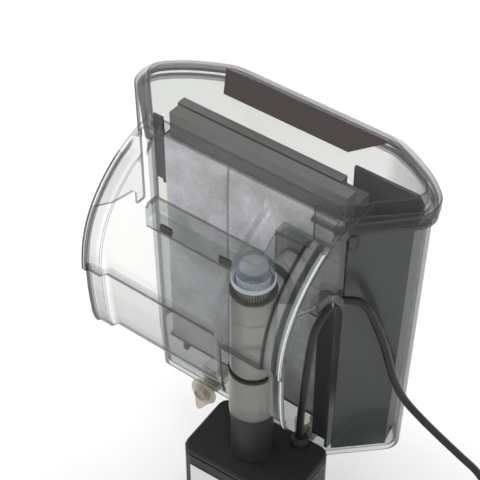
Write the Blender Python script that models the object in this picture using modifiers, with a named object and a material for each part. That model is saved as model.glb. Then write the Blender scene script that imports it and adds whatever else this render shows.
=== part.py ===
"""Hang on back aquarium filter: smoke-clear case on the glass, clear lid and water hood,
riser tube, hanging pump, two media cartridges, level adjusters and a coiled lead.

Axes: X along the tank glass, -Y into the tank, +Y outside, Z up.
Origin: top edge of the glass, middle of its thickness, on the centre plane of the case.
Dimensions are in millimetres and turned into metres by MM.
"""
import math

import bmesh
import bpy
from mathutils import Matrix, Vector

MM = 0.001

# ---------------------------------------------------------------- driving dimensions
GAP = 0.3
WALL = 2.0

CASE_FRONT_Y = 3.5
CASE_BOTTOM_Z = -132.8
MEDIA_FLOOR_Z = -118.0
CASE_TOP_Z = 63.1
CASE_HALF_OUTLINE = [(64.0, 3.5), (94.0, 32.5), (95.6, 38.5), (93.4, 44.6),
                     (88.0, 50.3), (79.0, 57.6), (66.0, 64.8), (52.0, 70.5)]
LID_HALF_OUTLINE = [(65.0, -5.3), (97.0, 29.0), (98.7, 39.1), (96.7, 46.9),
                    (91.3, 52.8), (82.0, 60.5), (68.6, 68.0), (54.6, 74.2)]
LID_FLANGE_Z = 65.4
LID_PANEL_Z = 72.0
LID_SKIRT_Z = 59.4

HOOD_AXIS = (12.0, -2.0)
HOOD_RADIUS_TOP = 71.6
HOOD_RADIUS_LOW = 70.1
HOOD_LEFT_X = -65.0
HOOD_RIGHT_X = 71.5
HOOD_THICKNESS = 1.8
PANEL_LEFT_X = -64.0
PANEL_RIGHT_X = 70.5
PANEL_SETBACK = HOOD_THICKNESS + GAP

TUBE_X = 33.5
TUBE_Y = -31.5
BRANCH_Z = 13.4
BRANCH_R = 9.4
RISER_R = 13.0
SLEEVE_TOP_Z = -38.2
SLEEVE_BOTTOM_Z = -70.3

PUMP_TURN_DEG = 3.0
PUMP_TOP_Z = -107.5
PUMP_BOTTOM_Z = -170.0
PUMP_LO = (-1.5, -54.75)
PUMP_HI = (73.5, -8.25)
MOTOR_Z = -135.0
GLAND_AT = (55.0, -14.0, 0.0)
GLAND_TOP_Z = -101.5

CORD_D = 4.6
COIL_CENTRE = (128.0, 8.0)
FLOOR_Z = -199.0
ADJUSTER_X = 36.0
ADJUSTER_Z = -146.6
COIL_INNER_R = 18.0
COIL_OUTER_R = 32.0

# ---------------------------------------------------------------- empty the scene
for old in list(bpy.data.objects):
    bpy.data.objects.remove(old, do_unlink=True)

scene = bpy.context.scene
parts = bpy.data.collections.new("Hang_On_Back_Filter")
cutters = bpy.data.collections.new("Cutters")
scene.collection.children.link(parts)
scene.collection.children.link(cutters)


# ---------------------------------------------------------------- materials
def material(name, colour, roughness, metallic=0.0, transmission=0.0):
    mat = bpy.data.materials.new(name)
    mat.use_nodes = True
    shader = mat.node_tree.nodes["Principled BSDF"]
    shader.inputs["Base Color"].default_value = (*colour, 1.0)
    shader.inputs["Roughness"].default_value = roughness
    shader.inputs["Metallic"].default_value = metallic
    shader.inputs["Transmission Weight"].default_value = transmission
    mat.diffuse_color = (*colour, 1.0 - 0.6 * transmission)
    return mat


CLEAR = material("clear_acrylic", (0.80, 0.82, 0.83), 0.08, 0.0, 0.9)
SMOKE = material("smoke_acrylic", (0.30, 0.32, 0.33), 0.10, 0.0, 0.7)
SMOKE_TUBE = material("smoke_tube", (0.42, 0.42, 0.40), 0.10, 0.0, 0.7)
DARK_FRAME = material("dark_frame_plastic", (0.08, 0.085, 0.09), 0.30)
BLACK = material("black_pump_plastic", (0.03, 0.031, 0.035), 0.42)
BLACK_RUBBER = material("black_rubber", (0.02, 0.02, 0.02), 0.75)
CORD_BLACK = material("cord_sheath", (0.05, 0.05, 0.055), 0.55)
WOOL = material("filter_wool", (0.78, 0.77, 0.83), 0.95)
CARBON = material("carbon_bag", (0.16, 0.16, 0.17), 0.95)
SPONGE = material("intake_sponge", (0.07, 0.07, 0.08), 0.95)
LABEL_DARK = material("lid_label_film", (0.10, 0.085, 0.085), 0.35)
LABEL_PALE = material("pump_label_film", (0.72, 0.72, 0.70), 0.45)
STEEL = material("steel", (0.60, 0.61, 0.62), 0.25, 1.0)
CERAMIC = material("ceramic", (0.88, 0.87, 0.83), 0.30)
MAGNET = material("ferrite_magnet", (0.10, 0.10, 0.11), 0.50)
IMPELLER = material("impeller_plastic", (0.75, 0.76, 0.78), 0.40)
EPOXY = material("potting_resin", (0.05, 0.05, 0.06), 0.35)
PAD = material("pad_plastic", (0.62, 0.58, 0.50), 0.25, 0.0, 0.5)


# ---------------------------------------------------------------- helpers
def as_object(name, mesh, mat=None):
    """Link a mesh as a named sub-part, or as a hidden cutter when it has no material."""
    ob = bpy.data.objects.new(name, mesh)
    if mat is None:
        cutters.objects.link(ob)
        ob.hide_render = True
        ob.display_type = "WIRE"
    else:
        parts.objects.link(ob)
        own = mat.copy()
        own.name = name + "_" + mat.name
        mesh.materials.clear()
        mesh.materials.append(own)
    return ob


def from_bmesh(name, bm, mat=None):
    bmesh.ops.recalc_face_normals(bm, faces=bm.faces)
    mesh = bpy.data.meshes.new(name)
    bm.to_mesh(mesh)
    bm.free()
    return as_object(name, mesh, mat)


def box(name, lo, hi, mat=None, bevel=0.0, segments=2):
    """Rectangular block between two corners."""
    bm = bmesh.new()
    bmesh.ops.create_cube(bm, size=1.0)
    size = [(hi[i] - lo[i]) * MM for i in range(3)]
    mid = [(hi[i] + lo[i]) * 0.5 * MM for i in range(3)]
    bmesh.ops.scale(bm, vec=size, verts=bm.verts)
    bmesh.ops.translate(bm, vec=mid, verts=bm.verts)
    ob = from_bmesh(name, bm, mat)
    if bevel > 0.0:
        mod = ob.modifiers.new("edge_round", "BEVEL")
        mod.width = bevel * MM
        mod.segments = segments
    return ob


def upright_block(name, lo, hi, corner, mat=None, segments=3, edge=0.0):
    """Block with rounded vertical corners."""
    x0, y0, z0 = lo
    x1, y1, z1 = hi
    outline = []
    for cx, cy, start in ((x1 - corner, y0 + corner, -90.0), (x1 - corner, y1 - corner, 0.0),
                          (x0 + corner, y1 - corner, 90.0), (x0 + corner, y0 + corner, 180.0)):
        for k in range(segments + 1):
            a = math.radians(start + 90.0 * k / segments)
            outline.append((cx + corner * math.cos(a), cy + corner * math.sin(a)))
    if edge <= 0.0:
        return stack(name, [ring(outline, z0), ring(outline, z1)], mat)
    small = inset(outline, edge)
    rings = [ring(small, z0), ring(outline, z0 + edge), ring(outline, z1 - edge), ring(small, z1)]
    return stack(name, rings, mat)


def ring(outline, z):
    return [(x, y, z) for x, y in outline]


def stack(name, rings, mat=None):
    """Closed skin through a stack of rings with the same number of points."""
    bm = bmesh.new()
    rows = [[bm.verts.new(Vector(p) * MM) for p in row] for row in rings]
    count = len(rows[0])
    for lower, upper in zip(rows[:-1], rows[1:]):
        for k in range(count):
            n = (k + 1) % count
            bm.faces.new((lower[k], lower[n], upper[n], upper[k]))
    bm.faces.new(list(reversed(rows[0])))
    bm.faces.new(rows[-1])
    return from_bmesh(name, bm, mat)


def inset(points, distance):
    """Shrink a counter-clockwise outline by a distance, grow it when negative."""
    out = []
    count = len(points)
    for k in range(count):
        p0 = Vector(points[k - 1])
        p1 = Vector(points[k])
        p2 = Vector(points[(k + 1) % count])
        d0 = (p1 - p0).normalized()
        d1 = (p2 - p1).normalized()
        n0 = Vector((-d0.y, d0.x))
        n1 = Vector((-d1.y, d1.x))
        mid = (n0 + n1).normalized()
        reach = distance / max(0.35, mid.dot(n0))
        out.append((p1.x + mid.x * reach, p1.y + mid.y * reach))
    return out


def mirrored(half):
    """Full outline, counter-clockwise, from its right half listed front to back."""
    left = [(-x, y) for x, y in reversed(half)]
    return list(half) + left


def rounded(outline, reach=5.0, front_reach=1.6):
    """Ease every corner of an outline with a short curve; the two front corners stay tighter."""
    front = min(y for x, y in outline)
    out = []
    count = len(outline)
    for k in range(count):
        p0 = Vector(outline[k - 1])
        p1 = Vector(outline[k])
        p2 = Vector(outline[(k + 1) % count])
        limit = front_reach if p1.y < front + 1.0 else reach
        a = p1 + (p0 - p1).normalized() * min(limit, 0.42 * (p0 - p1).length)
        b = p1 + (p2 - p1).normalized() * min(limit, 0.42 * (p2 - p1).length)
        for t in (0.0, 0.33, 0.67, 1.0):
            point = a * (1.0 - t) ** 2 + p1 * (2.0 * t * (1.0 - t)) + b * t ** 2
            out.append((point.x, point.y))
    return out


def soft_ring(outline, z):
    return ring(rounded(outline), z)


def shaped(outline, scale_x, scale_y, about_y):
    return [(x * scale_x, about_y + (y - about_y) * scale_y) for x, y in outline]


FACES = {
    "XY": Matrix(((1, 0, 0), (0, 1, 0), (0, 0, 1))),
    "XZ": Matrix(((1, 0, 0), (0, 0, -1), (0, 1, 0))),
    "YZ": Matrix(((0, 0, 1), (1, 0, 0), (0, 1, 0))),
}


def plate(name, outline, face, lo, hi, mat=None, holes=()):
    """Flat plate: a filled outline in one plane, from lo to hi along the third axis."""
    curve = bpy.data.curves.new(name, "CURVE")
    curve.dimensions = "2D"
    curve.fill_mode = "BOTH"
    curve.extrude = abs(hi - lo) * 0.5 * MM
    for loop in [outline, *holes]:
        spline = curve.splines.new("POLY")
        spline.points.add(len(loop) - 1)
        for point, (u, v) in zip(spline.points, loop):
            point.co = (u * MM, v * MM, 0.0, 1.0)
        spline.use_cyclic_u = True
    mid = 0.5 * (lo + hi) * MM
    turn = FACES[face].to_4x4()
    side = -1.0 if face == "XZ" else 1.0
    place = turn @ Matrix.Translation((0.0, 0.0, side * mid))
    return curve_to_part(name, curve, place, mat)


def curve_to_part(name, curve, place, mat):
    holder = bpy.data.objects.new(name + "_curve", curve)
    scene.collection.objects.link(holder)
    bpy.context.view_layer.update()
    graph = bpy.context.evaluated_depsgraph_get()
    mesh = bpy.data.meshes.new_from_object(holder.evaluated_get(graph))
    mesh.transform(place)
    bpy.data.objects.remove(holder, do_unlink=True)
    bm = bmesh.new()
    bm.from_mesh(mesh)
    bmesh.ops.remove_doubles(bm, verts=bm.verts, dist=1e-6)
    bpy.data.meshes.remove(mesh)
    return from_bmesh(name, bm, mat)


def cable(name, points, diameter, mat, rounding=2):
    """Round flexible lead through a list of points, both ends closed."""
    curve = bpy.data.curves.new(name, "CURVE")
    curve.dimensions = "3D"
    curve.bevel_depth = diameter * 0.5 * MM
    curve.bevel_resolution = rounding
    curve.use_fill_caps = True
    spline = curve.splines.new("POLY")
    spline.points.add(len(points) - 1)
    for point, p in zip(spline.points, points):
        point.co = (p[0] * MM, p[1] * MM, p[2] * MM, 1.0)
    ob = curve_to_part(name, curve, Matrix.Identity(4), mat)
    soften(ob)
    return ob


AXES = {
    "Z": Matrix.Identity(4),
    "X": Matrix.Rotation(math.radians(90.0), 4, "Y"),
    "Y": Matrix.Rotation(math.radians(-90.0), 4, "X"),
}


def turned(name, profile, centre, mat=None, axis="Z", steps=40, closed=True):
    """Solid of revolution; profile is (radius, height) down the outer side from the top."""
    mesh = bpy.data.meshes.new(name)
    verts = [(r * MM, 0.0, h * MM) for r, h in profile]
    edges = [(k, k + 1) for k in range(len(profile) - 1)]
    if closed:
        edges.append((len(profile) - 1, 0))
    mesh.from_pydata(verts, edges, [])
    ob = as_object(name, mesh, mat)
    mod = ob.modifiers.new("turn", "SCREW")
    mod.axis = "Z"
    mod.angle = math.radians(360.0)
    mod.steps = steps
    mod.render_steps = steps
    mod.use_merge_vertices = True
    mod.merge_threshold = 0.00001
    ob.matrix_world = Matrix.Translation(Vector(centre) * MM) @ AXES[axis]
    soften(ob)
    return ob


def collar(name, outer, inner, lo, hi, centre, mat=None, axis="Z", steps=40, chamfer=0.0):
    """Plain ring between two heights along its axis."""
    c = chamfer
    if c > 0.0:
        profile = [(inner, hi), (outer - c, hi), (outer, hi - c), (outer, lo + c), (outer - c, lo),
                   (inner, lo)]
    else:
        profile = [(inner, hi), (outer, hi), (outer, lo), (inner, lo)]
    return turned(name, profile, centre, mat, axis, steps)


def rod(name, radius, lo, hi, centre, mat=None, axis="Z", steps=40, chamfer=0.0):
    """Plain cylinder between two heights along its axis."""
    c = chamfer
    if c > 0.0:
        profile = [(0, hi), (radius - c, hi), (radius, hi - c), (radius, lo + c), (radius - c, lo),
                   (0, lo)]
    else:
        profile = [(0, hi), (radius, hi), (radius, lo), (0, lo)]
    return turned(name, profile, centre, mat, axis, steps, closed=False)


def boolean(ob, other, operation):
    mod = ob.modifiers.new(operation.lower() + "_" + other.name, "BOOLEAN")
    mod.operation = operation
    mod.solver = "EXACT"
    mod.object = other
    return other


def cut(ob, *others):
    for other in others:
        boolean(ob, other, "DIFFERENCE")


def join(ob, *others):
    for other in others:
        boolean(ob, other, "UNION")


def soften(ob, angle=32.0):
    """Smooth shading that keeps edges sharper than the angle."""
    if len(ob.data.polygons):
        ob.data.shade_smooth()
        ob.data.set_sharp_from_angle(angle=math.radians(angle))


def hang_from(ob, point):
    """Put the origin of a moving piece on its joint axis."""
    p = Vector(point) * MM
    shift = Matrix.Translation(p)
    ob.data.transform(shift.inverted() @ ob.matrix_world)
    ob.matrix_world = shift


def smooth_route(knots, spacing):
    """Evenly spaced points along a rounded path through the knots."""
    pts = [Vector(k) for k in knots]
    ends = [2 * pts[0] - pts[1], *pts, 2 * pts[-1] - pts[-2]]
    fine = []
    for k in range(1, len(ends) - 2):
        a, b, c, d = ends[k - 1], ends[k], ends[k + 1], ends[k + 2]
        for s in range(24):
            t = s / 24.0
            fine.append(0.5 * ((2 * b) + (c - a) * t + (2 * a - 5 * b + 4 * c - d) * t * t
                               + (3 * b - a - 3 * c + d) * t * t * t))
    fine.append(pts[-1])
    length = sum((q - p).length for p, q in zip(fine[:-1], fine[1:]))
    count = max(2, round(length / spacing))
    out = [fine[0]]
    walked = 0.0
    target = length / count
    for p, q in zip(fine[:-1], fine[1:]):
        step = (q - p).length
        while walked + step >= target - 1e-9 and len(out) < count:
            out.append(p.lerp(q, (target - walked) / step))
            target += length / count
        walked += step
    out.append(pts[-1])
    return out


# ---------------------------------------------------------------- case
def build_case():
    top = mirrored(CASE_HALF_OUTLINE)
    low = shaped(top, 0.962, 0.972, CASE_FRONT_Y)
    rings = [
        soft_ring(inset(low, 2.5), CASE_BOTTOM_Z), soft_ring(low, CASE_BOTTOM_Z + 2.5),
        soft_ring(top, 55.0), soft_ring(inset(top, -3.0), 55.0),
        soft_ring(inset(top, -3.0), 57.2), soft_ring(top, 57.2),
        soft_ring(top, CASE_TOP_Z), soft_ring(inset(top, WALL), CASE_TOP_Z),
        soft_ring(inset(low, WALL), CASE_BOTTOM_Z + 4.0),
        soft_ring(inset(low, 4.0), CASE_BOTTOM_Z + WALL),
    ]
    case = stack("main_case", rings, SMOKE)
    # spout that rests on the glass, with a lip behind it and low cheeks
    spout = plate("spout_tool",
                  [(-6.0, -5.0), (-4.5, -5.0), (-4.5, 0.0), (4.6, 0.0), (4.6, 2.0), (-6.0, 2.0)],
                  "YZ", -62.5, 62.5)
    cheek_outline = [(-6.0, 0.5), (4.6, 0.5), (4.6, 12.0), (-3.5, 12.0), (-6.0, 9.5)]
    join(case, spout)
    for side in (-1, 1):
        lo, hi = sorted((side * 60.5, side * 62.5))
        join(case, plate("cheek_tool", cheek_outline, "YZ", lo, hi))
    # lugs under the floor that carry the level adjusters
    for side in (-1, 1):
        lug = [(-6.5, 15.1), (-6.5, -0.4), (-4.6, -5.0), (0.0, -6.9),
               (4.6, -5.0), (6.5, -0.4), (6.5, 15.1)]
        lug = [(x + side * ADJUSTER_X, z + ADJUSTER_Z) for x, z in lug]
        join(case, plate("lug_tool", lug, "XZ", 18.0, 28.0))
    # locating rib below the lid on the right shoulder
    rib = [(67.2, 4.2), (69.0, 2.4), (71.4, 5.0), (70.6, 10.4)]
    join(case, plate("rib_tool", rib, "XY", 44.0, 54.6))
    # weir mouth and the hole for the riser branch
    mouth = [(-61.5, 10.0), (14.0, 10.0), (21.0, 29.5), (37.0, 30.0), (46.0, 38.0), (46.0, 70.0),
             (-61.5, 70.0)]
    cut(case, plate("mouth_tool", mouth, "XZ", -2.0, 7.0))
    cut(case, rod("branch_hole_tool", BRANCH_R + GAP, 1.0, 9.0, (TUBE_X, 0.0, BRANCH_Z), None, "Y", 32))
    for side in (-1, 1):
        cut(case, rod("lug_bore_tool", 3.8, 14.0, 32.0, (side * ADJUSTER_X, 0.0, ADJUSTER_Z), None, "Y", 24))
    soften(case)


def build_case_inserts():
    # tray that lifts both cartridges off the floor and guides their sides
    shelf = MEDIA_FLOOR_Z - WALL
    tray = box("media_tray", (-68.0, 17.0, shelf), (60.0, 44.0, MEDIA_FLOOR_Z), DARK_FRAME)
    foot = CASE_BOTTOM_Z + 3.6
    left = [(28.5, foot), (44.0, foot), (44.0, 44.0), (17.0, 44.0), (17.0, 10.0), (28.5, 10.0)]
    join(tray, plate("tray_left_tool", left, "YZ", -68.0, -66.0))
    flange = [(-72.6, 12.0), (-66.6, 12.0), (-66.6, 43.0), (-67.4, 57.0), (-74.0, 57.0)]
    join(tray, plate("tray_flange_tool", flange, "XZ", 17.3, 19.2))
    right = [(8.0, foot), (44.0, foot), (44.0, 44.0), (8.0, 44.0), (8.0, 32.0), (15.2, 32.0),
             (15.2, 0.0), (8.0, 0.0)]
    join(tray, plate("tray_right_tool", right, "YZ", 58.0, 60.0))
    join(tray, box("tray_front_tool", (46.0, 12.6, foot), (58.6, 14.2, 0.0)))
    for x in (-60.0, -2.0, 52.0):
        join(tray, box("tray_foot_tool", (x, 20.0, CASE_BOTTOM_Z + 2.4), (x + 3.0, 42.0, shelf + 1.0)))
    slots = [(x, y) for x in (-54.0, -30.0, 6.0, 30.0) for y in (20.0, 31.0)]
    for x, y in slots:
        cut(tray, box("tray_slot_tool", (x, y, shelf - 1.0), (x + 18.0, y + 8.0, MEDIA_FLOOR_Z + 1.0)))
    # divider behind the cartridges that steers incoming water to the back chamber
    # and its wing, which lines the slanting wall of that chamber
    steer = [(43.0, foot), (82.6, foot), (87.2, 46.0), (86.8, 54.0), (83.0, 60.0), (43.0, 60.0)]
    baffle = plate("rear_baffle", steer, "XZ", 45.0, 47.0, DARK_FRAME)
    wing_low = [(62.7, 8.8), (86.2, 31.5), (83.0, 46.0), (80.6, 46.0), (83.6, 32.0), (61.5, 10.1)]
    wing_top = [(65.1, 8.8), (89.6, 32.6), (87.4, 46.0), (85.2, 46.0), (86.9, 33.2), (63.9, 10.1)]
    join(baffle, stack("baffle_wing_tool", [[(x, y, foot + 1.4) for x, y in wing_low],
                                            [(x, y, 50.0) for x, y in wing_top]]))
    # duct that takes the riser water to the right-hand pocket
    duct = box("inlet_duct", (20.0, 5.9, 2.0), (61.8, 14.2, 30.2), SMOKE)
    cut(duct, box("duct_hollow_tool", (21.6, 4.0, 3.6), (64.0, 12.6, 28.6)))
    # rubber shims between the spout lip and the glass
    for number, x in enumerate((-49.5, -7.2, 35.0), start=1):
        outline = [(-4.2, -5.4), (-2.6, -4.9), (-2.6, -0.3), (-4.2, -0.3)]
        plate("glass_shim_%d" % number, outline, "YZ", x - 4.0, x + 4.0, BLACK_RUBBER)


# ---------------------------------------------------------------- lid and hood
def hood_radius(angle):
    t = min(1.0, max(0.0, (angle - 55.0) / 33.0))
    return HOOD_RADIUS_TOP + (HOOD_RADIUS_LOW - HOOD_RADIUS_TOP) * t * t * (3.0 - 2.0 * t)


def hood_point(angle, setback):
    r = hood_radius(angle) - setback
    a = math.radians(angle)
    return HOOD_AXIS[0] - r * math.sin(a), HOOD_AXIS[1] + r * math.cos(a)


def ramp(x, x0, v0, x1, v1):
    t = min(1.0, max(0.0, (x - x0) / (x1 - x0)))
    return v0 + (v1 - v0) * t * t * (3.0 - 2.0 * t)


def face_setback(x):
    """How far the face of the hood lies behind its rim flange, across the width."""
    if x >= 68.0:
        return ramp(x, 68.0, 2.6, 69.0, 0.0)
    if x <= -61.5:
        return ramp(-x, 61.5, 1.2, 62.5, 0.0)
    if x <= -51.5:
        return ramp(x, -53.0, 1.2, -51.5, 4.8)
    if x <= 22.0:
        return 4.8
    if x <= 32.0:
        return ramp(x, 22.0, 4.8, 32.0, -0.4)
    return ramp(x, 57.0, -0.4, 59.5, 2.6)


HOOD_STATIONS = [HOOD_LEFT_X, -62.5, -61.5, -53.0, -51.5, -30.0, -5.0, 22.0, 24.5, 27.0, 29.5, 32.0,
                 40.0, 57.0, 58.2, 59.5, 68.0, 69.0, HOOD_RIGHT_X]


def curved_sheet(name, rows, thickness, mat=None):
    """Closed sheet from rows of (outer, inner) point pairs."""
    bm = bmesh.new()
    outer = [[bm.verts.new(Vector(p[0]) * MM) for p in row] for row in rows]
    inner = [[bm.verts.new(Vector(p[1]) * MM) for p in row] for row in rows]
    last_r = len(rows) - 1
    last_c = len(rows[0]) - 1
    for r in range(last_r):
        for c in range(last_c):
            bm.faces.new((outer[r][c], outer[r + 1][c], outer[r + 1][c + 1], outer[r][c + 1]))
            bm.faces.new((inner[r][c], inner[r][c + 1], inner[r + 1][c + 1], inner[r + 1][c]))
    for c in range(last_c):
        bm.faces.new((outer[0][c], outer[0][c + 1], inner[0][c + 1], inner[0][c]))
        bm.faces.new((outer[last_r][c], inner[last_r][c], inner[last_r][c + 1], outer[last_r][c + 1]))
    for r in range(last_r):
        bm.faces.new((outer[r][0], inner[r][0], inner[r + 1][0], outer[r + 1][0]))
        bm.faces.new((outer[r][last_c], outer[r + 1][last_c], inner[r + 1][last_c], inner[r][last_c]))
    return from_bmesh(name, bm, mat)


def build_lid_hood():
    full = mirrored(LID_HALF_OUTLINE)
    rings = [
        soft_ring(full, LID_SKIRT_Z), soft_ring(full, LID_FLANGE_Z - 0.8),
        soft_ring(inset(full, 0.8), LID_FLANGE_Z), soft_ring(inset(full, 5.2), LID_FLANGE_Z),
        soft_ring(inset(full, 7.6), LID_PANEL_Z - 0.8), soft_ring(inset(full, 8.6), LID_PANEL_Z),
    ]
    inner = [
        soft_ring(inset(full, 9.0), LID_PANEL_Z - WALL),
        soft_ring(inset(full, 6.8), LID_FLANGE_Z - WALL),
        soft_ring(inset(full, WALL), LID_FLANGE_Z - WALL), soft_ring(inset(full, WALL), LID_SKIRT_Z),
    ]
    # the underside is the same dish again, so the skin runs down inside and up outside
    lid = stack("lid_hood", inner + rings, CLEAR)
    cut(lid, box("lid_front_tool", (-64.0, -9.0, 50.0), (64.0, 0.0, 70.0)))

    rows = []
    angles = [8.0, 11.0, 14.7, 19.0, 23.5] + [28.0 + 5.03 * k for k in range(13)]
    for angle in angles:
        blend = min(1.0, max(0.0, (angle - 14.7) / 12.0))
        draw_in = min(1.0, 0.63 + 0.05 * (angle - 8.0))
        row = []
        for x in HOOD_STATIONS:
            depth = face_setback(x) * blend * blend * (3.0 - 2.0 * blend)
            if x > 59.5:
                x = 59.5 + (x - 59.5) * draw_in
            y0, z0 = hood_point(angle, depth)
            y1, z1 = hood_point(angle, depth + HOOD_THICKNESS)
            row.append(((x, y0, z0), (x, y1, z1)))
        rows.append(row)
    sheet = curved_sheet("hood_sheet_tool", rows, HOOD_THICKNESS)
    join(lid, sheet)

    rim = [hood_point(a, 0.9) for a in (16.0, 22.0, 28.0, 34.0, 40.0, 46.0, 52.0, 55.0)]
    web = [(-4.4, 64.8)] + rim + [(-44.0, 37.2), (-30.0, 30.0), (-13.0, 26.5), (-11.0, 24.0),
                                  (-11.0, 15.6), (-5.2, 15.6), (-4.4, 17.0)]
    join(lid, plate("web_tool", web, "YZ", HOOD_LEFT_X + 0.1, HOOD_LEFT_X + 2.0))
    right_web = [(1.6, 64.6)] + web[1:] + [(-4.4, 58.6), (1.6, 59.8)]
    join(lid, plate("web_tool", right_web, "YZ", HOOD_RIGHT_X - 2.0, HOOD_RIGHT_X - 0.1))
    soften(lid, 28.0)

    label = [(-41.3, 40.2), (41.3, 40.2), (54.2, 59.4), (-54.2, 59.4)]
    plate("lid_label", label, "XY", LID_PANEL_Z + 0.3, LID_PANEL_Z + 0.5, LABEL_DARK)


def build_flow_panel():
    rows = []
    stations = [x for x in HOOD_STATIONS if PANEL_LEFT_X < x < PANEL_RIGHT_X]
    stations = [PANEL_LEFT_X] + stations + [PANEL_RIGHT_X]
    top_angle = 86.0
    angles = [top_angle + (88.5 - top_angle) * k / 4.0 for k in range(5)]
    for angle in angles:
        row = []
        for x in stations:
            depth = face_setback(x) + PANEL_SETBACK
            y0, z0 = hood_point(angle, depth)
            y1, z1 = hood_point(angle, depth + HOOD_THICKNESS)
            row.append(((x, y0, z0), (x, y1, z1)))
        rows.append(row)
    base_y = hood_point(88.5, 0.0)[0]
    for z, shift in ((-6.0, 0.0), (-16.0, 0.1), (-27.0, 0.8), (-36.0, 1.6), (-42.0, 2.9), (-45.0, 4.2)):
        row = []
        for x in stations:
            depth = face_setback(x) + PANEL_SETBACK + shift
            row.append(((x, base_y + depth, z), (x, base_y + depth + HOOD_THICKNESS, z)))
        rows.append(row)
    panel = curved_sheet("flow_guide_panel", rows, HOOD_THICKNESS, CLEAR)
    notch = [(28.5, -60.0), (59.8, -60.0), (59.8, -4.0), (56.5, -0.6), (31.5, -0.6), (28.5, -4.0)]
    cut(panel, plate("panel_notch_tool", notch, "XZ", -62.0, -45.0))
    soften(panel, 28.0)
    hang_from(panel, (0.0, HOOD_AXIS[0], HOOD_AXIS[1]))


def build_cord_clip():
    """Hooked arm on the right flange of the hood that keeps the lead off the glass."""
    path = [(73.1, -31.0, 33.0), (73.3, -23.0, 33.2), (73.8, -15.6, 28.6), (74.2, -10.8, 22.4),
            (74.4, -8.8, 16.0)]
    half_width, half_thick = 2.9, 1.0
    bm = bmesh.new()
    rows = []
    for k, point in enumerate(path):
        p = Vector(point)
        ahead = Vector(path[min(k + 1, len(path) - 1)]) - Vector(path[max(k - 1, 0)])
        tangent = ahead.normalized()
        across = Vector((1.0, 0.0, 0.0))
        across = (across - tangent * across.dot(tangent)).normalized()
        up = tangent.cross(across).normalized()
        taper = 1.0 - 0.10 * k
        corners = []
        for u, v in ((-1, -0.7), (-0.8, -1), (0.8, -1), (1, -0.7), (1, 0.7), (0.8, 1), (-0.8, 1),
                     (-1, 0.7)):
            spot = p + up * (u * half_width * taper) + across * (v * half_thick)
            corners.append(bm.verts.new(spot * MM))
        rows.append(corners)
    count = len(rows[0])
    for a, b in zip(rows[:-1], rows[1:]):
        for k in range(count):
            n = (k + 1) % count
            bm.faces.new((a[k], a[n], b[n], b[k]))
    bm.faces.new(rows[0])
    bm.faces.new(rows[-1])
    clip = from_bmesh("cord_clip", bm, CLEAR)
    soften(clip)


# ---------------------------------------------------------------- media
def windows(frame, x0, x1, z0, z1, y0, y1, columns=6, rows=6, bar=2.8):
    """Cut a grid of openings through a cartridge frame."""
    wide = (x1 - x0 - bar * (columns - 1)) / columns
    tall = (z1 - z0 - bar * (rows - 1)) / rows
    for column in range(columns):
        for row in range(rows):
            x = x0 + column * (wide + bar)
            z = z0 + row * (tall + bar)
            cut(frame, box("window_tool", (x, y0, z), (x + wide, y1, z + tall)))


def build_cartridges():
    # front cartridge: header bar above an open grid that backs the wool mat
    low = MEDIA_FLOOR_Z + 0.4
    front = box("front_cartridge_frame", (-65.0, 22.5, low), (57.0, 26.0, 50.0), DARK_FRAME)
    join(front, box("front_header_tool", (-62.0, 18.0, 46.5), (56.8, 25.8, 63.6)))
    windows(front, -62.4, 54.4, low + 2.6, 43.4, 21.0, 28.0)
    # wool mat, needled to a soft slab with one pressed seam
    wool = box("wool_mat", (-65.4, 15.0, low + 0.2), (55.6, 22.0, 46.0), WOOL, 1.6, 2)
    seam = [(-20.8, 13.0), (-19.2, 13.0), (-19.4, 16.1), (-20.6, 16.1)]
    cut(wool, plate("mat_seam_tool", seam, "XY", low - 1.4, 48.0))
    # rear cartridge: open box frame around the carbon bag
    rear = box("rear_cartridge_frame", (-65.0, 29.0, low), (56.0, 41.0, 62.0), DARK_FRAME)
    cut(rear, box("rear_pocket_tool", (-62.6, 30.6, low + 3.0), (53.6, 39.4, 47.6)))
    windows(rear, -61.4, 52.4, low + 4.2, 46.4, 28.0, 42.0)
    cut(rear, box("rear_header_relief_tool", (-70.0, 34.8, 50.6), (60.0, 44.0, 66.0)))
    cut(rear, box("rear_header_end_tool", (45.4, 26.0, 50.6), (60.0, 44.0, 66.0)))
    box("carbon_pouch", (-62.2, 31.0, low + 3.4), (53.2, 39.0, 47.2), CARBON, 2.2, 2)


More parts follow.
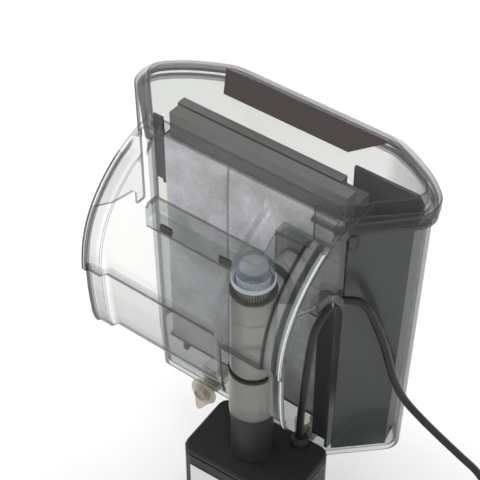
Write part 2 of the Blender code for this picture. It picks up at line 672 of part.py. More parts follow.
# ---------------------------------------------------------------- riser, knob and sleeve
def build_riser():
    axis = (TUBE_X, TUBE_Y, 0.0)
    branch = (TUBE_X, TUBE_Y, BRANCH_Z)
    barrel = [(0.0, 23.1), (13.0, 23.1), (13.0, -34.2), (12.4, -35.6), (11.9, -35.6), (11.9, -64.0),
              (0.0, -64.0)]
    bore = [(0.0, 30.0), (11.4, 30.0), (11.4, -33.6), (10.4, -34.6), (10.4, -70.0), (0.0, -70.0)]
    riser = turned("riser_tube", barrel, axis, SMOKE_TUBE, "Z", 40, False)
    join(riser, rod("branch_tool", BRANCH_R, 2.0, 38.2, branch, None, "Y", 32))
    cut(riser, turned("riser_bore_tool", bore, axis, None, "Z", 40, False))
    cut(riser, rod("branch_bore_tool", BRANCH_R - 1.4, 3.0, 42.0, branch, None, "Y", 32))
    collar("elbow_gasket", 14.0, BRANCH_R + GAP, 17.4, 19.6, branch, BLACK_RUBBER, "Y", 32, 0.5)
    seal = [(11.35, 24.6), (12.0, 25.3), (12.8, 24.9), (13.1, 24.1), (12.7, 23.4), (11.6, 23.4)]
    turned("knob_o_ring", seal, axis, BLACK_RUBBER, "Z", 32)

    dome = [(0.0, 46.0), (4.0, 45.9), (7.5, 44.3), (10.0, 41.0), (11.2, 37.5), (11.4, 33.0),
            (12.0, 32.6), (12.0, 30.6), (11.0, 30.2), (11.0, 20.3), (9.2, 20.3), (9.2, 36.0),
            (7.8, 40.4), (4.0, 42.6), (0.0, 42.9)]
    knob = turned("flow_knob", dome, axis, CLEAR, "Z", 40, False)
    cut(knob,
        box("knob_grip_tool", (TUBE_X - 6.0, TUBE_Y - 4.4, 44.7), (TUBE_X + 6.0, TUBE_Y + 4.4, 48.0),
            None, 2.0, 3))
    valve = collar("flow_valve", 11.1, 9.7, 4.5, 20.0, axis, SMOKE_TUBE, "Z", 40)
    cut(valve, rod("valve_port_tool", 6.9, 4.0, 14.0, (TUBE_X, TUBE_Y, BRANCH_Z - 1.2), None, "Y", 24))
    join(valve,
         box("valve_bridge_tool", (TUBE_X - 10.4, TUBE_Y - 1.2, 17.6),
             (TUBE_X + 10.4, TUBE_Y + 1.2, 20.0)))

    collar("lower_sleeve", 13.5, 12.2, SLEEVE_BOTTOM_Z, SLEEVE_TOP_Z, axis, SMOKE_TUBE, "Z", 40, 0.4)
    collar("sleeve_seal", 13.8, 12.2, SLEEVE_TOP_Z + GAP, -35.9, axis, BLACK_RUBBER, "Z", 40, 0.5)


# ---------------------------------------------------------------- pump
def build_pump():
    pivot = (TUBE_X, TUBE_Y, 0.0)
    x0, y0 = PUMP_LO
    x1, y1 = PUMP_HI
    made_before = set(bpy.data.objects)

    cover = upright_block("pump_cover", (x0, y0, -111.6), (x1, y1, PUMP_TOP_Z), 7.0, BLACK, 3, 1.2)
    nozzle = [(0.0, -66.4), (11.6, -66.4), (11.9, -67.4), (11.9, -70.6), (13.2, -70.6),
              (13.2, -74.4), (12.3, -75.0),
              (12.3, -103.0), (12.9, -106.4), (12.9, -108.4), (0.0, -108.4)]
    join(cover, turned("nozzle_tool", nozzle, pivot, None, "Z", 40, False))
    cut(cover, rod("nozzle_bore_tool", 9.6, -114.0, -60.0, pivot, None, "Z", 40))

    housing = upright_block("pump_housing", (x0, y0, -157.9), (x1, y1, -111.9), 7.0, BLACK)
    cut(housing,
        upright_block("housing_hollow_tool", (x0 + 2.5, y0 + 2.5, -155.4), (x1 - 2.5, y1 - 2.5, -110.0),
                      4.8))
    cut(housing, box("housing_intake_tool", (4.0, -46.0, -160.0), (20.0, -17.0, -153.0)))
    for z in (-141.0, -135.0, -129.0):
        cut(housing, box("housing_slot_tool", (x0 - 1.0, -44.0, z), (x0 + 4.0, -19.0, z + 2.6)))

    box("pump_label", (5.8, y0 - 0.6, -149.0), (66.0, y0 - 0.3, -119.6), LABEL_PALE)

    # volute chamber with an intake spider on the left and the outlet pipe on top
    motor = (0.0, TUBE_Y, MOTOR_Z)
    case = rod("volute_casing", 15.5, 24.0, 41.2, motor, BLACK, "X", 32)
    join(case, rod("volute_outlet_tool", 8.2, -126.0, -112.2, pivot, None, "Z", 32))
    cut(case, rod("volute_hollow_tool", 13.5, 25.5, 39.5, motor, None, "X", 36))
    cut(case, rod("volute_eye_tool", 6.5, 20.0, 30.0, motor, None, "X", 28))
    cut(case, rod("volute_back_tool", 8.6, 36.0, 44.0, motor, None, "X", 28))
    cut(case, rod("volute_outlet_bore_tool", 6.8, -131.0, -110.0, pivot, None, "Z", 30))
    join(case,
         box("spider_tool", (22.4, TUBE_Y - 1.0, MOTOR_Z - 8.0), (24.6, TUBE_Y + 1.0, MOTOR_Z + 8.0)))
    join(case,
         box("spider_tool", (22.4, TUBE_Y - 8.0, MOTOR_Z - 1.0), (24.6, TUBE_Y + 8.0, MOTOR_Z + 1.0)))
    join(case, rod("spider_boss_tool", 4.2, 20.6, 25.2, motor, None, "X", 24))
    cut(case, rod("spider_bore_tool", 2.9, 19.0, 27.0, motor, None, "X", 24))

    impeller = rod("impeller", 3.0, 27.4, 42.4, motor, IMPELLER, "X", 24)
    join(impeller, rod("impeller_disc_tool", 11.6, 35.0, 36.6, motor, None, "X", 30))
    for k in range(6):
        a = math.radians(60.0 * k + 9.0)
        blade = box("blade_tool", (28.4, 2.2, -0.8), (35.4, 11.0, 0.8))
        blade.matrix_world = (Matrix.Translation(Vector((0.0, TUBE_Y, MOTOR_Z)) * MM)
                              @ Matrix.Rotation(a, 4, "X"))
        join(impeller, blade)
    cut(impeller, rod("impeller_bore_tool", 1.35, 20.0, 50.0, motor, None, "X", 16))
    collar("rotor_magnet", 7.6, 1.35, 42.8, 64.2, motor, MAGNET, "X", 32, 0.4)
    rod("rotor_shaft", 1.0, 21.2, 67.2, motor, CERAMIC, "X", 16)
    collar("front_bush", 2.6, 1.3, 21.4, 25.0, motor, CERAMIC, "X", 20)
    collar("rear_bush", 3.0, 1.3, 64.6, 67.6, motor, CERAMIC, "X", 20)

    stator = upright_block("stator_block", (42.0, y0 + 3.0, -155.0), (x1 - 3.0, y1 - 3.0, -112.6), 4.6,
                           EPOXY)
    cut(stator, rod("stator_bore_tool", 8.3, 40.0, 66.0, motor, None, "X", 32))
    cut(stator, rod("stator_pocket_tool", 3.3, 60.0, 68.0, motor, None, "X", 20))

    # strainer base: slotted tray with the intake sponge inside
    base = upright_block("strainer_base", (x0, y0, PUMP_BOTTOM_Z), (x1, y1, -158.2), 7.0, BLACK, 3, 0.0)
    hollow = upright_block("base_hollow_tool", (x0 + 2.2, y0 + 2.2, -167.8),
                           (x1 - 2.2, y1 - 2.2, -150.0), 5.0)
    cut(base, hollow)
    for k in range(7):
        x = 5.0 + 9.6 * k
        cut(base, box("base_slot_tool", (x, -48.0, -172.0), (x + 5.0, -15.0, -166.0)))
        cut(base, box("side_slot_tool", (x, -60.0, -166.0), (x + 5.0, 0.0, -161.0)))
    upright_block("strainer_sponge", (x0 + 2.8, y0 + 2.8, -167.2), (x1 - 2.8, y1 - 2.8, -158.9), 4.8,
                  SPONGE, 3, 1.2)

    gland = [(0.0, GLAND_TOP_Z), (3.2, GLAND_TOP_Z), (4.7, -102.3), (5.4, -104.0), (5.4, -107.2),
             (0.0, -107.2)]
    turned("cable_gland", gland, GLAND_AT, BLACK_RUBBER, "Z", 24, False)

    # the whole pump hangs slightly turned about the sleeve
    turn = bpy.data.objects.new("pump_axis", None)
    parts.objects.link(turn)
    turn.matrix_world = Matrix.Translation(Vector(pivot) * MM)
    bpy.context.view_layer.update()
    for ob in [o for o in bpy.data.objects if o not in made_before and o is not turn]:
        kept = ob.matrix_world.copy()
        ob.parent = turn
        ob.matrix_parent_inverse = turn.matrix_world.inverted()
        ob.matrix_world = kept
    turn.rotation_euler = (0.0, 0.0, math.radians(PUMP_TURN_DEG))


# ---------------------------------------------------------------- level adjusters
def build_adjusters():
    for name, x in (("left", -ADJUSTER_X), ("right", ADJUSTER_X)):
        centre = (x, 0.0, ADJUSTER_Z)
        screw = rod("level_adjuster_" + name, 3.5, 6.6, 35.4, centre, PAD, "Y", 24, 0.5)
        wing = [(-9.0, -3.0), (-8.6, -21.8), (-7.0, -24.0), (-5.4, -23.4),
                (5.0, -8.6), (5.0, 2.0), (0.0, 4.6), (-6.0, 3.0)]
        wing = [(x + u, ADJUSTER_Z + v) for u, v in wing]
        join(screw, plate("wing_tool", wing, "XZ", 11.8, 13.6))
        join(screw, rod("adjuster_stop_tool", 5.4, 33.0, 35.0, centre, None, "Y", 24))
        pad = [(3.8, 11.5), (7.8, 11.5), (9.3, 10.8), (9.7, 9.8), (9.3, 9.1), (6.0, 9.1), (5.0, 5.6),
               (3.8, 5.2)]
        turned("level_pad_" + name, pad, centre, PAD, "Y", 32)


# ---------------------------------------------------------------- supply lead
def build_lead():
    ox, oy = TUBE_X, TUBE_Y
    a = math.radians(PUMP_TURN_DEG)
    gx = ox + (GLAND_AT[0] - ox) * math.cos(a) - (GLAND_AT[1] - oy) * math.sin(a)
    gy = oy + (GLAND_AT[0] - ox) * math.sin(a) + (GLAND_AT[1] - oy) * math.cos(a)
    cx, cy = COIL_CENTRE
    floor = FLOOR_Z + CORD_D * 0.5 + 0.1
    reach = COIL_OUTER_R + CORD_D * 0.5 + 0.5
    route = [(gx, gy, GLAND_TOP_Z + GAP), (gx + 0.2, gy, -84.0), (55.6, -13.4, -67.0),
             (56.9, -13.8, -49.0), (59.2, -14.0, -22.0),
             (61.7, -14.0, -5.0), (64.7, -11.5, 6.0), (66.6, -8.0, 11.6), (69.0, -2.6, 12.9),
             (73.0, 2.0, 11.6), (76.6, 5.0, 10.4), (80.0, 7.6, 5.8), (83.4, 10.8, -5.0),
             (88.8, 14.0, -23.0), (93.4, 15.4, -40.0),
             (97.0, 18.0, -54.5), (102.0, 21.6, -68.0), (111.0, 25.6, -80.5), (121.6, 32.0, -96.0),
             (132.9, 38.0, -110.5), (144.3, 43.6, -125.0), (154.0, 46.0, -143.0), (160.4, 43.0, -162.0),
             (163.4, 34.0, -180.0), (cx + reach, 22.0, -192.0), (cx + reach, 9.0, floor + 1.0)]
    cable("cord_lead", smooth_route(route, 10.0), CORD_D, CORD_BLACK)

    low = FLOOR_Z
    bumps = [(20.4, low + 8.6), (22.4, low + 9.3), (25.0, low + 8.9), (27.6, low + 9.3),
             (30.0, low + 8.4), (32.0, low + 6.0), (31.4, low + 4.5), (32.0, low + 2.4),
             (30.4, low), (19.6, low), (18.0, low + 2.4), (18.6, low + 4.5), (18.0, low + 6.4)]
    turned("cord_coil", bumps, (cx, cy, 0.0), CORD_BLACK, "Z", 48)
    strap = [(-33.4, 0.5), (-32.3, 0.5), (-32.3, 9.7), (-17.7, 9.7), (-17.7, 0.5), (-16.6, 0.5),
             (-16.6, 10.8), (-33.4, 10.8)]
    plate("coil_tie", [(cx + u, low + v) for u, v in strap], "XZ", cy - 2.5, cy + 2.5, BLACK_RUBBER)

    py = cy - reach
    tail = [(cx - 2.0, py, floor + 3.5), (cx - 14.0, py - 0.4, floor + 1.8),
            (98.0, py - 1.0, floor + 0.2), (85.4, py - 6.0, floor + 1.0),
            (80.0, py - 18.6, floor + 2.6), (85.4, py - 31.4, floor + 4.6),
            (98.4, py - 37.0, floor + 6.0), (104.0, py - 37.4, floor + 6.2),
            (112.0, py - 37.4, floor + 6.2)]
    cable("cord_tail", smooth_route(tail, 9.0), CORD_D, CORD_BLACK)
    yc = py - 37.4
    zc = floor + 6.2
    relief = [(2.6, 0.0), (3.2, 0.0), (3.8, 7.0), (5.4, 20.0), (2.6, 20.0)]
    turned("plug_strain_relief", list(reversed(relief)), (104.0, yc, zc), BLACK_RUBBER, "X", 24)
    body = upright_block("plug_body", (124.3, yc - 12.0, FLOOR_Z + 0.1), (154.0, yc + 12.0, zc + 8.4),
                         6.0, CORD_BLACK, 4, 2.0)
    cut(body, rod("plug_cord_hole_tool", 2.6, 100.0, 126.0, (0.0, yc, zc), None, "X", 16))
    for name, side in (("left", 1.0), ("right", -1.0)):
        y = yc + side * 6.35
        box("plug_blade_" + name, (154.3, y - 0.75, zc - 3.1), (171.0, y + 0.75, zc + 3.1), STEEL)


build_case()
build_case_inserts()
build_lid_hood()
build_flow_panel()
build_cord_clip()
build_cartridges()
build_riser()
build_pump()
build_adjusters()
build_lead()
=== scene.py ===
"""Looks of the hang on back filter: clear and dark plastics, soft media, lead, light and camera."""

import math

import bmesh
import bpy
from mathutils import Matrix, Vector


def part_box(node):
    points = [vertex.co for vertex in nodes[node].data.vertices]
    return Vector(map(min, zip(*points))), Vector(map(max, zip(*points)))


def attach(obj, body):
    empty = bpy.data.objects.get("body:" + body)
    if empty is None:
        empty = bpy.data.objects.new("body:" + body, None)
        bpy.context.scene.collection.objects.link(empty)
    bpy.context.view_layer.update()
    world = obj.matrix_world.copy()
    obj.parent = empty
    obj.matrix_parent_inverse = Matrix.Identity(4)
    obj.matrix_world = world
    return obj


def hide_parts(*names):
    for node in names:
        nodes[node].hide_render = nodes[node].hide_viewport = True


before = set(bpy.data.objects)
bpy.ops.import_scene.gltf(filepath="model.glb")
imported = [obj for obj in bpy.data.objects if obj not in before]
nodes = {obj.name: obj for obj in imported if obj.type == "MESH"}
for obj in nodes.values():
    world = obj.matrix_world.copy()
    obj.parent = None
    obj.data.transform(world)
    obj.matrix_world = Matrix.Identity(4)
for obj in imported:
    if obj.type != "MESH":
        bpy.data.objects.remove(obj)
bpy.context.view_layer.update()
scene = bpy.context.scene

# ---------------------------------------------------------------- driving values (metres)
CORD_D = 0.0046
COIL_LOW, COIL_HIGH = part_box("cord_coil")
COIL_CENTRE = (COIL_LOW.xy + COIL_HIGH.xy) / 2
FLOOR_Z = COIL_LOW.z
LAID_Z = FLOOR_Z + CORD_D / 2 + 0.0001      # centre of a lead that lies on the floor
LANE_R = (COIL_HIGH.x - COIL_LOW.x) / 2 + CORD_D / 2 + 0.0005      # the lead passing just outside the coil
SEAM_X = -0.020      # pressed seam of the wool mat
BORDER_FROM, BORDER_SPAN = 0.050, 0.024      # stretch either side where the hood's borders lie


# ---------------------------------------------------------------- camera
def make_camera():
    data = bpy.data.cameras.new("camera")
    data.lens = 108.17
    data.sensor_width = 36.0
    data.clip_start = 0.01
    camera = bpy.data.objects.new("camera", data)
    camera.location = (0.3473, -0.4561, 0.5605)
    camera.rotation_euler = (math.radians(46.445), 0.0, math.radians(37.233))
    scene.collection.objects.link(camera)
    scene.camera = camera


# ---------------------------------------------------------------- small mesh helpers
def add_object(name, mesh, mat):
    ob = bpy.data.objects.new(name, mesh)
    scene.collection.objects.link(ob)
    mesh.materials.append(mat)
    return ob


def smooth_points(knots, spacing):
    """Evenly spaced points on a rounded path through the knots."""
    pts = [Vector(k) for k in knots]
    ends = [2 * pts[0] - pts[1], *pts, 2 * pts[-1] - pts[-2]]
    fine = []
    for k in range(1, len(ends) - 2):
        a, b, c, d = ends[k - 1], ends[k], ends[k + 1], ends[k + 2]
        for s in range(16):
            t = s / 16.0
            fine.append(0.5 * ((2 * b) + (c - a) * t + (2 * a - 5 * b + 4 * c - d) * t * t
                               + (3 * b - a - 3 * c + d) * t * t * t))
    fine.append(pts[-1])
    length = sum((q - p).length for p, q in zip(fine[:-1], fine[1:]))
    count = max(2, round(length / spacing))
    out = [fine[0]]
    walked = 0.0
    target = length / count
    for p, q in zip(fine[:-1], fine[1:]):
        step = (q - p).length
        while walked + step >= target - 1e-12 and len(out) < count:
            out.append(p.lerp(q, (target - walked) / step))
            target += length / count
        walked += step
    out.append(pts[-1])
    return out


# ---------------------------------------------------------------- supply lead
def coil_points(start_angle, end_angle):
    """Turns of the coil, wound clockwise: three on the floor inwards, then one on top."""
    # angle in degrees, radius and height of the lead's centre; the lead eases from one row to the next
    lanes = [(0.0, LANE_R, 0.0009), (55.0, 0.0295, 0.0), (330.0, 0.0295, 0.0), (395.0, 0.0249, 0.0),
             (690.0, 0.0249, 0.0), (755.0, 0.0203, 0.0), (1010.0, 0.0203, 0.0), (1070.0, 0.0226, 0.0041),
             (1340.0, 0.0226, 0.0042), (1395.0, 0.0262, 0.0042), (1440.0, 0.0285, 0.0046),
             (1500.0, LANE_R - 0.0012, 0.0046), (1533.0, LANE_R, 0.0034)]
    points = []
    angle = start_angle
    while angle <= end_angle:
        for (a0, r0, h0), (a1, r1, h1) in zip(lanes[:-1], lanes[1:]):
            if a0 <= angle <= a1:
                t = (angle - a0) / (a1 - a0)
                t = t * t * (3 - 2 * t)
                radius, height = r0 + (r1 - r0) * t, h0 + (h1 - h0) * t
                break
        turn = -math.radians(angle)
        around = COIL_CENTRE + Vector((math.cos(turn), math.sin(turn))) * radius
        points.append((around.x, around.y, LAID_Z + height))
        angle += 15.0
    return points


def make_cord(mat):
    gland_low, gland_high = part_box("cable_gland")
    gx, gy = (gland_low.xy + gland_high.xy) / 2
    # from the gland up past the clip, down behind the case and round to the coil
    lead = [(gx, gy, gland_high.z + 0.0003), (gx + 0.0002, gy, -0.084), (0.0556, -0.0134, -0.067),
            (0.0569, -0.0138, -0.049), (0.0592, -0.014, -0.022), (0.0617, -0.014, -0.005),
            (0.0647, -0.0115, 0.006), (0.0666, -0.008, 0.0116), (0.069, -0.0026, 0.0129),
            (0.073, 0.002, 0.0116), (0.0766, 0.005, 0.0104), (0.080, 0.0076, 0.0058),
            (0.0834, 0.0108, -0.005), (0.0888, 0.014, -0.023), (0.0934, 0.0154, -0.040),
            (0.097, 0.018, -0.0545), (0.102, 0.0216, -0.068), (0.111, 0.0256, -0.0805),
            (0.1216, 0.032, -0.096), (0.1329, 0.038, -0.1105), (0.1443, 0.0436, -0.125),
            (0.154, 0.046, -0.143), (0.1604, 0.043, -0.162), (0.1634, 0.034, -0.180),
            (COIL_CENTRE.x + LANE_R, 0.022, -0.192)]
    # from the coil round to the strain relief of the plug
    py = COIL_CENTRE.y - LANE_R
    tail = [(COIL_CENTRE.x - 0.014, py - 0.0004, LAID_Z + 0.0018), (0.098, py - 0.001, LAID_Z + 0.0002),
            (0.0854, py - 0.006, LAID_Z + 0.001), (0.080, py - 0.0186, LAID_Z + 0.0026),
            (0.0854, py - 0.0314, LAID_Z + 0.0046), (0.0984, py - 0.037, LAID_Z + 0.006),
            (0.104, py - 0.0374, LAID_Z + 0.0062), (0.112, py - 0.0374, LAID_Z + 0.0062)]
    route = lead + coil_points(0.0, 1530.0) + tail
    points = smooth_points(route, 0.0022)
    curve = bpy.data.curves.new("cord", "CURVE")
    curve.dimensions = "3D"
    curve.bevel_depth = CORD_D * 0.5
    curve.bevel_resolution = 5
    curve.use_fill_caps = True
    spline = curve.splines.new("POLY")
    spline.points.add(len(points) - 1)
    for point, p in zip(spline.points, points):
        point.co = (*p, 1.0)
    cord = bpy.data.objects.new("cord", curve)
    scene.collection.objects.link(cord)
    curve.materials.append(mat)
    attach(cord, "filter_case")
    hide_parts("cord_lead", "cord_coil", "cord_tail")


# ---------------------------------------------------------------- materials
def material(name):
    mat = bpy.data.materials.new(name)
    mat.use_nodes = True
    return mat, mat.node_tree.nodes, mat.node_tree.links


def opaque(name, colour, roughness, metallic=0.0, grain=0.0, grain_size=900.0, specular=0.5,
           speckle=0.0):
    """Solid plastic, rubber, metal or fibre with a fine grain in its colour and its bump."""
    mat, tree, links = material(name)
    shader = tree["Principled BSDF"]
    shader.inputs["Base Color"].default_value = (*colour, 1.0)
    shader.inputs["Roughness"].default_value = roughness
    shader.inputs["Metallic"].default_value = metallic
    shader.inputs["Specular IOR Level"].default_value = specular
    where = tree.new("ShaderNodeTexCoord")
    noise = tree.new("ShaderNodeTexNoise")
    noise.inputs["Scale"].default_value = grain_size
    noise.inputs["Detail"].default_value = 3.0
    links.new(where.outputs["Object"], noise.inputs["Vector"])
    if speckle > 0.0:
        ramp = tree.new("ShaderNodeValToRGB")
        ramp.color_ramp.elements[0].position = 0.35
        ramp.color_ramp.elements[1].position = 0.68
        ramp.color_ramp.elements[0].color = (*[c * (1.0 - speckle) for c in colour], 1.0)
        ramp.color_ramp.elements[1].color = (*[min(1.0, c * (1.0 + speckle)) for c in colour], 1.0)
        links.new(noise.outputs["Fac"], ramp.inputs["Fac"])
        links.new(ramp.outputs["Color"], shader.inputs["Base Color"])
    if grain > 0.0:
        bump = tree.new("ShaderNodeBump")
        bump.inputs["Strength"].default_value = grain
        bump.inputs["Distance"].default_value = 0.0004
        links.new(noise.outputs["Fac"], bump.inputs["Height"])
        links.new(bump.outputs["Normal"], shader.inputs["Normal"])
    return mat


def across_ramp(tree, links, side, stops):
    """Steps across a moulded border: (distance in mm from the centre plane, value) per step."""
    place = tree.new("ShaderNodeTexCoord")
    split = tree.new("ShaderNodeSeparateXYZ")
    links.new(place.outputs["Object"], split.inputs["Vector"])
    scale = tree.new("ShaderNodeMapRange")
    scale.inputs["From Min"].default_value = side * BORDER_FROM
    scale.inputs["From Max"].default_value = side * (BORDER_FROM + BORDER_SPAN)
    links.new(split.outputs["X"], scale.inputs["Value"])
    ramp = tree.new("ShaderNodeValToRGB")
    ramp.color_ramp.interpolation = "CONSTANT"
    elements = ramp.color_ramp.elements
    elements.remove(elements[1])
    for number, (at, value) in enumerate(stops):
        position = (at * 0.001 - BORDER_FROM) / BORDER_SPAN
        element = elements[0] if number == 0 else elements.new(position)
        element.position = position
        element.color = (value, value, value, 1.0)
    links.new(scale.outputs["Result"], ramp.inputs["Fac"])
    return ramp.outputs["Color"]


def see_through(name, face_tint, edge_tint, haze=0.01, haze_tint=(0.75, 0.77, 0.78), gloss=0.04,
                side=0, shade=(), haze_and_painted_highlight=()):
    """Clear plastic: lightly tinted, darker and more mirror-like at a glancing angle.

    A border moulding also says its side (-1 or 1), and how its painted shade lines and its haze, with
    painted highlight lines, step across it.
    """
    base_shine, edge_shine = 0.01, 0.75
    mat, tree, links = material(name)
    tree.clear()
    out = tree.new("ShaderNodeOutputMaterial")
    weight = tree.new("ShaderNodeLayerWeight")
    weight.inputs["Blend"].default_value = 0.5
    ramp = tree.new("ShaderNodeValToRGB")
    ramp.color_ramp.elements[0].color = (*face_tint, 1.0)
    ramp.color_ramp.elements[0].position = 0.35
    ramp.color_ramp.elements[1].color = (*edge_tint, 1.0)
    ramp.color_ramp.elements[1].position = 0.97
    links.new(weight.outputs["Facing"], ramp.inputs["Fac"])
    clear = tree.new("ShaderNodeBsdfTransparent")
    # painted shade lines: darker stripes across the border stand in for the dark refraction at its moulded
    # steps
    if shade:
        tinted = tree.new("ShaderNodeMix")
        tinted.data_type = "RGBA"
        tinted.blend_type = "MULTIPLY"
        tinted.inputs[0].default_value = 1.0
        links.new(ramp.outputs["Color"], tinted.inputs[6])
        links.new(across_ramp(tree, links, side, shade), tinted.inputs[7])
        links.new(tinted.outputs[2], clear.inputs["Color"])
    else:
        links.new(ramp.outputs["Color"], clear.inputs["Color"])
    body = tree.new("ShaderNodeBsdfDiffuse")
    body.inputs["Color"].default_value = (*haze_tint, 1.0)
    hazed = tree.new("ShaderNodeMixShader")
    hazed.inputs["Fac"].default_value = haze
    # haze across the border, with painted highlight lines: white stripes that stand in for light carried
    # along the moulded edges
    if haze_and_painted_highlight:
        links.new(across_ramp(tree, links, side, haze_and_painted_highlight), hazed.inputs["Fac"])
    links.new(clear.outputs["BSDF"], hazed.inputs[1])
    links.new(body.outputs["BSDF"], hazed.inputs[2])
    mirror = tree.new("ShaderNodeBsdfGlossy")
    mirror.inputs["Roughness"].default_value = gloss
    steep = tree.new("ShaderNodeMath")
    steep.operation = "POWER"
    steep.inputs[1].default_value = 5.0
    links.new(weight.outputs["Facing"], steep.inputs[0])
    amount = tree.new("ShaderNodeMath")
    amount.operation = "MULTIPLY_ADD"
    amount.inputs[1].default_value = edge_shine - base_shine
    amount.inputs[2].default_value = base_shine
    links.new(steep.outputs["Value"], amount.inputs[0])
    mix = tree.new("ShaderNodeMixShader")
    links.new(amount.outputs["Value"], mix.inputs["Fac"])
    links.new(hazed.outputs["Shader"], mix.inputs[1])
    links.new(mirror.outputs["BSDF"], mix.inputs[2])
    links.new(mix.outputs["Shader"], out.inputs["Surface"])
    return mat


def wool_material():
    """Needled wool: lilac white, cloudy, with fine fibre, and painted shade darkening it along one pressed
    seam line.
    """
    mat, tree, links = material("wool_fibre")
    shader = tree["Principled BSDF"]
    shader.inputs["Roughness"].default_value = 0.95
    shader.inputs["Specular IOR Level"].default_value = 0.1
    where = tree.new("ShaderNodeTexCoord")
    clouds = tree.new("ShaderNodeTexNoise")
    clouds.inputs["Scale"].default_value = 34.0
    clouds.inputs["Detail"].default_value = 4.0
    links.new(where.outputs["Object"], clouds.inputs["Vector"])
    fibre = tree.new("ShaderNodeTexNoise")
    fibre.inputs["Scale"].default_value = 620.0
    fibre.inputs["Detail"].default_value = 3.0
    links.new(where.outputs["Object"], fibre.inputs["Vector"])
    tone = tree.new("ShaderNodeValToRGB")
    tone.color_ramp.elements[0].position = 0.36
    tone.color_ramp.elements[0].color = (0.50, 0.51, 0.51, 1.0)
    tone.color_ramp.elements[1].position = 0.62
    tone.color_ramp.elements[1].color = (0.78, 0.76, 0.84, 1.0)
    links.new(clouds.outputs["Fac"], tone.inputs["Fac"])
    split = tree.new("ShaderNodeSeparateXYZ")
    links.new(where.outputs["Object"], split.inputs["Vector"])
    off = tree.new("ShaderNodeMath")
    off.operation = "ADD"
    off.inputs[1].default_value = -SEAM_X
    links.new(split.outputs["X"], off.inputs[0])
    away = tree.new("ShaderNodeMath")
    away.operation = "ABSOLUTE"
    links.new(off.outputs["Value"], away.inputs[0])
    # painted shade: the colour drops to 0.55 along the pressed seam, standing in for the shade in its
    # crease
    seam = tree.new("ShaderNodeMapRange")
    seam.inputs["From Min"].default_value = 0.0003
    seam.inputs["From Max"].default_value = 0.0012
    seam.inputs["To Min"].default_value = 0.55
    seam.inputs["To Max"].default_value = 1.0
    links.new(away.outputs["Value"], seam.inputs["Value"])
    speck = tree.new("ShaderNodeMapRange")
    speck.inputs["From Min"].default_value = 0.3
    speck.inputs["From Max"].default_value = 0.7
    speck.inputs["To Min"].default_value = 0.86
    speck.inputs["To Max"].default_value = 1.05
    links.new(fibre.outputs["Fac"], speck.inputs["Value"])
    shade = tree.new("ShaderNodeMath")
    shade.operation = "MULTIPLY"
    links.new(seam.outputs["Result"], shade.inputs[0])
    links.new(speck.outputs["Result"], shade.inputs[1])
    colour = tree.new("ShaderNodeVectorMath")
    colour.operation = "SCALE"
    links.new(tone.outputs["Color"], colour.inputs[0])
    links.new(shade.outputs["Value"], colour.inputs["Scale"])
    links.new(colour.outputs["Vector"], shader.inputs["Base Color"])
    bump = tree.new("ShaderNodeBump")
    bump.inputs["Strength"].default_value = 0.8
    bump.inputs["Distance"].default_value = 0.0005
    links.new(fibre.outputs["Fac"], bump.inputs["Height"])
    links.new(bump.outputs["Normal"], shader.inputs["Normal"])
    return mat


def paint(node, mat):
    """Give a piece one material, smooth shading and sharp edges where it turns."""
    ob = nodes[node]
    ob.data.materials.clear()
    ob.data.materials.append(mat)
    for face in ob.data.polygons:
        face.material_index = 0
    ob.data.shade_smooth()
    ob.data.set_sharp_from_angle(angle=math.radians(30.0))


def edge_key(edge):
    """The place of an edge, so that faces that don't share corners still find each other."""
    return frozenset((round(v.co.x, 5), round(v.co.y, 5), round(v.co.z, 5)) for v in edge.verts)


def narrow_faces(mesh, width):
    """Faces of flat strips no wider than the width: the cut edges and small steps of a sheet."""
    bm = bmesh.new()
    bm.from_mesh(mesh)
    bm.faces.ensure_lookup_table()
    side_of = {}
    for face in bm.faces:
        for edge in face.edges:
            side_of.setdefault(edge_key(edge), []).append(face.index)
    near = {face.index: set() for face in bm.faces}
    rims = {face.index: [] for face in bm.faces}
    for face in bm.faces:
        for edge in face.edges:
            others = [k for k in side_of[edge_key(edge)] if k != face.index]
            same = [k for k in others if bm.faces[k].normal.dot(face.normal) > 0.94]
            if same:
                near[face.index].update(same)
            else:
                rims[face.index].append(edge.calc_length())
    found, seen = [], set()
    for start in near:
        if start in seen:
            continue
        patch, todo = [], [start]
        seen.add(start)
        while todo:
            k = todo.pop()
            patch.append(k)
            for n in near[k]:
                if n not in seen:
                    seen.add(n)
                    todo.append(n)
        area = sum(bm.faces[k].calc_area() for k in patch)
        around = sum(sum(rims[k]) for k in patch)
        if around > 0.0 and 2.0 * area / around < width:
            found += patch
    bm.free()
    return found


def edge_tint(node, mat, width=0.0023):
    """Paint shade on the cut edges and narrow steps of a piece: a darker finish that stands in for the
    dark refraction along clear plastic edges.
    """
    ob = nodes[node]
    ob.data.materials.append(mat)
    for k in narrow_faces(ob.data, width):
        ob.data.polygons[k].material_index = len(ob.data.materials) - 1


def rule_tint(node, mat, rule):
    """Give the faces that the rule picks, from their centre and normal, their own finish; several calls
    use it to paint shade and highlights onto clear plastic.
    """
    ob = nodes[node]
    ob.data.materials.append(mat)
    for face in ob.data.polygons:
        if rule(face.center, face.normal):
            face.material_index = len(ob.data.materials) - 1


# ---------------------------------------------------------------- face rules
# where the mouldings turn (metres); each rule reads the centre and the normal of a face
SKIRT_Z = 0.059
SLOPE_Y = -0.0095
SLOPE_TOP_Z = 0.0605
SLOPE_FOOT_Z = 0.003
LEFT_END_X, RIGHT_END_X = -0.035, 0.038
STEP_FROM_X, STEP_TO_X = 0.0215, 0.0325
PANEL_TOP_Z = -0.004
WEB_TOP_Z = 0.0575
WEB_INSIDE_X, WEB_OUTSIDE_X = -0.0630, -0.0649
SAME_PLANE = 0.00005
# depth below the crown of the knob
WINDOW_DROP, RIM_DROP, KNOB_SKIRT_DROP = 0.0062, 0.0127, 0.0156


